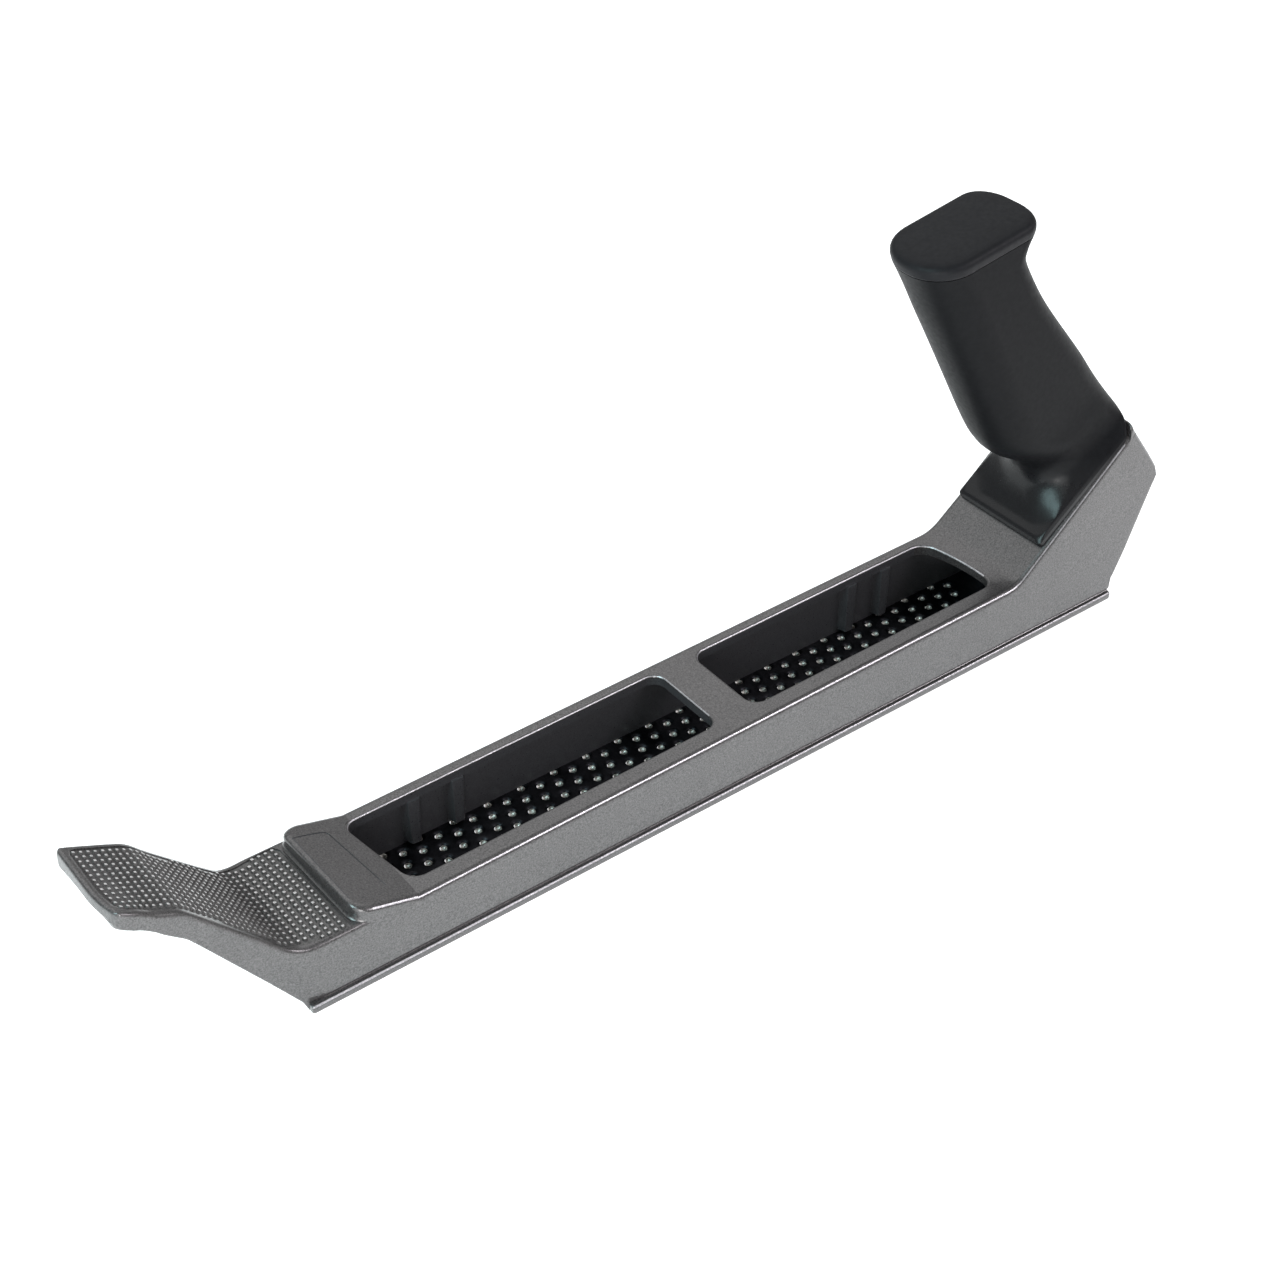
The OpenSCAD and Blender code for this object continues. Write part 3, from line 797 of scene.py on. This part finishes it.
def blade_sheet():
    """The sheet with its holes and its two end slots, filled from a flat curve."""
    cu = bpy.data.curves.new("sheet", "CURVE")
    cu.dimensions = "2D"
    cu.fill_mode = "BOTH"
    cu.extrude = BLADE["thick"] * MM / 2 - SHEET_ROUND
    cu.bevel_depth = SHEET_ROUND

    def outline(pts):
        sp = cu.splines.new("POLY")
        sp.points.add(len(pts) - 1)
        for p, (x, y) in zip(sp.points, pts):
            p.co = ((X0 + x) * MM, y * MM, 0, 1)
        sp.use_cyclic_u = True

    x1, x2 = BLADE["x"]
    h = BLADE["half"]
    outline([(x1, -h), (x2, -h), (x2, h), (x1, h)])
    outline(CATCH_SLOT)
    outline(HOOK_SLOT)
    for cx, cy in tooth_centres():
        outline(circle(cx, cy, DIMPLE))
    ob = bpy.data.objects.new("blade_sheet", cu)
    ob.location.z = (BLADE["top"] - BLADE["thick"] / 2 + LIFT) * MM
    bpy.context.scene.collection.objects.link(ob)
    bpy.context.view_layer.update()
    me = bpy.data.meshes.new_from_object(ob.evaluated_get(bpy.context.evaluated_depsgraph_get()))
    me.transform(ob.matrix_world)
    bpy.data.objects.remove(ob)
    bpy.data.curves.remove(cu)
    out = bpy.data.objects.new("blade_sheet", me)
    bpy.context.scene.collection.objects.link(out)
    return out


def blade_dimples():
    """A funnel for every opening, smooth where it meets the sheet."""
    bm = bmesh.new()
    profile = [(2.32, 0.0), (2.1, -0.03), (1.85, -0.12), (1.6, -0.28), (1.36, -0.46), (1.2, -0.6),
               (1.16, -0.75), (1.25, -0.95), (1.6, -0.98), (2.0, -0.95), (2.32, -0.9)]
    for cx, cy in tooth_centres():
        rows = [[bm.verts.new(at(x, y, BLADE["top"] + z)) for x, y in circle(cx, cy, r)] for r, z in profile]
        for a, b in zip(rows, rows[1:]):
            for i in range(SIDES):
                j = (i + 1) % SIDES
                bm.faces.new((a[i], a[j], b[j], b[i]))
    return mesh_object("blade_dimples", bm)


def blade_teeth():
    """Hooded teeth: half domes that open towards the toe."""
    bm = bmesh.new()
    top = BLADE["top"] - 0.62
    inside_r, depth, skin, forward = 1.12, 1.02, 0.22, 0.55
    for cx, cy in tooth_centres():
        skins = []
        for thick in (0.0, skin):
            rows = []
            for k in range(6):
                phi = math.radians(84 * k / 5)
                r = (inside_r + thick) * math.cos(phi)
                z = top - (depth + thick * 0.6) * math.sin(phi)
                x = cx + -forward * math.sin(phi) ** 2
                row = []
                for a in range(-100, 101, 20):
                    a = math.radians(a)
                    row.append(bm.verts.new(at(x + r * math.cos(a), cy + r * math.sin(a), z)))
                rows.append(row)
            skins.append(rows)
        inner, outer = skins
        n = len(inner[0])
        for rows, flip in ((inner, False), (outer, True)):
            for a, b in zip(rows, rows[1:]):
                for i in range(n - 1):
                    q = (a[i], a[i + 1], b[i + 1], b[i])
                    bm.faces.new(tuple(reversed(q)) if flip else q)
        for k in range(5):
            bm.faces.new((inner[k][0], inner[k + 1][0], outer[k + 1][0], outer[k][0]))
            bm.faces.new((inner[k + 1][-1], inner[k][-1], outer[k][-1], outer[k + 1][-1]))
        for i in range(n - 1):
            bm.faces.new((inner[0][i + 1], inner[0][i], outer[0][i], outer[0][i + 1]))
            bm.faces.new((inner[-1][i], inner[-1][i + 1], outer[-1][i + 1], outer[-1][i]))
    return mesh_object("blade_teeth", bm)


sheet = blade_sheet()
dimples = blade_dimples()
teeth = blade_teeth()
for ob, mat in ((sheet, OXIDE), (dimples, OXIDE), (teeth, TOOTH)):
    wear(ob, mat)
    shade(ob, 50)
    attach(ob, "tool")
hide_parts("rasp_blade")

# Lofted grip, one ring to a line: front point x and z, rear point x and z, front and rear half widths,
# then the size along and across of the corner curves at the front and at the rear.
FLANGE_HALF = 19.2
GRIP_HALF = 14.0
CAP_TILT = math.radians(9.4)
FOOT = ramp_pt(14.3)
STATIONS = [
    (FOOT[0], FOOT[1], 315.6, 64.0, FLANGE_HALF, FLANGE_HALF, 1.5, 1.5, 1.5, 1.5),
    (FOOT[0] - 1.1, FOOT[1] + 1.5, 315.8, 66.0, FLANGE_HALF, FLANGE_HALF, 1.8, 1.8, 2, 2),
    (FOOT[0] - 0.4, FOOT[1] + 3.2, 316.0, 68.2, 18.4, 19.0, 3.5, 3.5, 3, 3),
    (282.3, 40.4, 316.2, 70.0, 17.9, 18.6, 8, 8, 4, 4),
    (285.0, 44.8, 316.1, 71.9, 16.6, 17.7, 12, 11, 5, 5),
    (286.7, 51.0, 315.8, 74.0, 14.8, 16.6, 15, 13.5, 6, 7),
    (285.3, 56.8, 313.8, 77.2, 14.4, 15.5, 15.5, 13.8, 6.5, 8),
    (278.5, 61.6, 310.8, 81.0, 14.6, 14.8, 15.5, 14.0, 7, 8),
    (270.8, 66.4, 306.9, 86.0, 14.1, 14.2, 14, 13.4, 7, 8),
    (265.2, 72.6, 302.5, 91.6, GRIP_HALF, GRIP_HALF, 13.2, 13.2, 7, 8),
    (259.8, 81.2, 296.0, 100.0, GRIP_HALF, GRIP_HALF, 13, 13.2, 7, 8),
    (250.0, 98.9, 283.4, 115.0, GRIP_HALF, GRIP_HALF, 13, 13.2, 7, 8),
    (241.6, 114.0, 274.8, 125.7, GRIP_HALF, GRIP_HALF, 13, 13.2, 7, 8),
    (234.6, 126.4, 268.0, 135.8, GRIP_HALF, GRIP_HALF, 13, 13.2, 7, 8),
    (229.6, 135.6, 264.2, 143.1, GRIP_HALF, GRIP_HALF, 13, 13.2, 7.2, 8.6),
    (226.6, 140.9, 265.0, 147.7, GRIP_HALF, GRIP_HALF, 12.8, 13.2, 7.6, 10),
    (224.3, 144.7, 267.3, 151.9, GRIP_HALF, GRIP_HALF, 12.6, 13.2, 8, 11.5),
]


def refine(st, start, k):
    """Smooth curve through the rings from start on, with k steps between two rings."""
    out = list(st[:start])
    m = len(st) - 1
    for i in range(start, m):
        a, b, c, d = st[max(i - 1, start)], st[i], st[i + 1], st[min(i + 2, m)]
        for j in range(k):
            t = j / k
            out.append(tuple(0.5 * (2 * q + (r - p) * t + (2 * p - 5 * q + 4 * r - s) * t * t
                                    + (3 * q - p - 3 * r + s) * t ** 3) for p, q, r, s in zip(a, b, c, d)))
    out.append(st[m])
    return out


def grip_ring(s):
    """Closed loop of one ring, with elliptic corners."""
    n = 9
    xf, zf, xr, zr, bf, br, a1, y1, a2, y2 = s
    length = math.hypot(xr - xf, zr - zf)
    ux, uz = (xr - xf) / length, (zr - zf) / length
    pts = []
    for cu, cv, au, av, a0 in ((length - a2, br - y2, a2, y2, 0), (a1, bf - y1, a1, y1, 90),
                               (a1, y1 - bf, a1, y1, 180), (length - a2, y2 - br, a2, y2, 270)):
        for i in range(n + 1):
            a = math.radians(a0 + 90 * i / n)
            pts.append((cu + au * math.cos(a), cv + av * math.sin(a)))
    return [at(xf + ux * u, v, zf + uz * u) for u, v in pts]


grip = mesh_object("grip_skin", loft([grip_ring(s) for s in refine(STATIONS, 1, 6)]))
wear(grip, GRIP)
shade(grip, 40)
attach(grip, "tool")
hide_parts("handle_grip")


def lifted(s, h, inset):
    """A ring moved up by h across the cap's plane and drawn in by inset."""
    ux, uz = math.cos(CAP_TILT), math.sin(CAP_TILT)
    return (s[0] - uz * h + inset * ux, s[1] + ux * h + inset * uz,
            s[2] - uz * h - inset * ux, s[3] + ux * h - inset * uz,
            s[4] - inset, s[5] - inset, *(max(0.5, r - inset) for r in s[6:]))


# the cap's seam, its rounded rim and its slightly domed top
cap_rings = [lifted(STATIONS[-1], h, inset) for h, inset in (
    (0.0, 0.9), (0.05, 0.25), (0.3, -0.1), (0.8, -0.25), (2.2, -0.45), (2.9, -0.4), (3.5, -0.15),
    (4.0, 0.3), (4.35, 0.8), (4.6, 1.6), (4.78, 3.0), (4.92, 5.2), (5.0, 8.0), (5.04, 11.0))]
cap = mesh_object("cap_skin", loft([grip_ring(s) for s in cap_rings]))
wear(cap, CAP)
shade(cap, 40)
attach(cap, "tool")
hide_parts("handle_cap")

# finishes of the CAD nodes that stay, and of the hidden blade
ZINC_NODES = ("blade_catch", "catch_screw", "tension_hook", "tension_screw", "tension_washer",
              "handle_screw_lower", "handle_screw_upper", "handle_washer_lower", "handle_washer_upper")
BRASS_NODES = ("handle_insert_lower", "handle_insert_upper")
for names, mat in ((("rasp_blade",), OXIDE), (ZINC_NODES, ZINC), (BRASS_NODES, BRASS)):
    for name in names:
        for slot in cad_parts[name].material_slots:
            slot.material = mat

# ---------------------------------------------------------------- studio and camera

scene = bpy.context.scene
floor_mat = Nodes("floor_light_table")
floor_white = floor_mat.ramp(floor_mat.noise(3, 2), [(0.3, (0.86,) * 3), (0.7, (0.88,) * 3)])
floor_mat.finish(floor_white, 0.7, Emission_Color=(1, 1, 1, 1), Emission_Strength=0.75)
bm = bmesh.new()
bmesh.ops.create_grid(bm, x_segments=8, y_segments=8, size=3.0)
floor = mesh_object("floor", bm)
for f in floor.data.polygons:
    f.use_smooth = True
wear(floor, floor_mat.mat)


def area(name, direction, distance, size, power, color=(1, 1, 1), aim=(0.02, 0, 0.05)):
    """Rectangular light that looks at a point from a direction; metres and watts."""
    light = bpy.data.lights.new(name, "AREA")
    light.shape = "RECTANGLE"
    light.size, light.size_y = size
    light.energy = power
    light.color = color
    ob = bpy.data.objects.new(name, light)
    aim = Vector(aim)
    ob.location = aim + Vector(direction).normalized() * distance
    ob.rotation_euler = (aim - ob.location).to_track_quat("-Z", "Y").to_euler()
    scene.collection.objects.link(ob)


area("key_front_right", (0.48, -0.62, 0.62), 1.6, (1.1, 0.18), 8.5, (1.0, 0.95, 1.0))
area("toe_side", (-0.45, -0.8, 0.35), 0.45, (0.24, 0.24), 1.25, aim=(-0.15, -0.01, 0.03))
area("back_panel", (0.05, 0.55, 0.75), 1.6, (2.4, 1.2), 8)
area("left_cool", (-0.7, -0.05, 0.55), 1.1, (0.35, 0.7), 6.2, (0.66, 0.97, 1.0))

world = bpy.data.worlds.new("studio")
scene.world = world
world.use_nodes = True
world.node_tree.nodes["Background"].inputs["Color"].default_value = (1, 1, 1, 1)
world.node_tree.nodes["Background"].inputs["Strength"].default_value = 0.42
scene.view_settings.view_transform = "Standard"

# the photograph's camera: it looks at TARGET from DISTANCE metres
AZIMUTH = math.radians(-37.477)
ELEVATION = math.radians(38.072)
ROLL = math.radians(0.45)
TARGET = at(128.58, 0, 55.42)
DISTANCE = 0.59391
LENS = 56.93

back = Vector((math.sin(AZIMUTH) * math.cos(ELEVATION), -math.cos(AZIMUTH) * math.cos(ELEVATION),
               math.sin(ELEVATION)))
right = Vector((0, 0, 1)).cross(back).normalized()
up = back.cross(right)
right, up = (right * math.cos(ROLL) + up * math.sin(ROLL),
             up * math.cos(ROLL) - right * math.sin(ROLL))
cam_data = bpy.data.cameras.new("camera")
cam_data.lens = LENS
cam_data.sensor_width = 36.0
cam = bpy.data.objects.new("camera", cam_data)
pose = Matrix((right, up, back)).transposed().to_4x4()
pose.translation = TARGET + back * DISTANCE
cam.matrix_world = pose
scene.collection.objects.link(cam)
scene.camera = cam
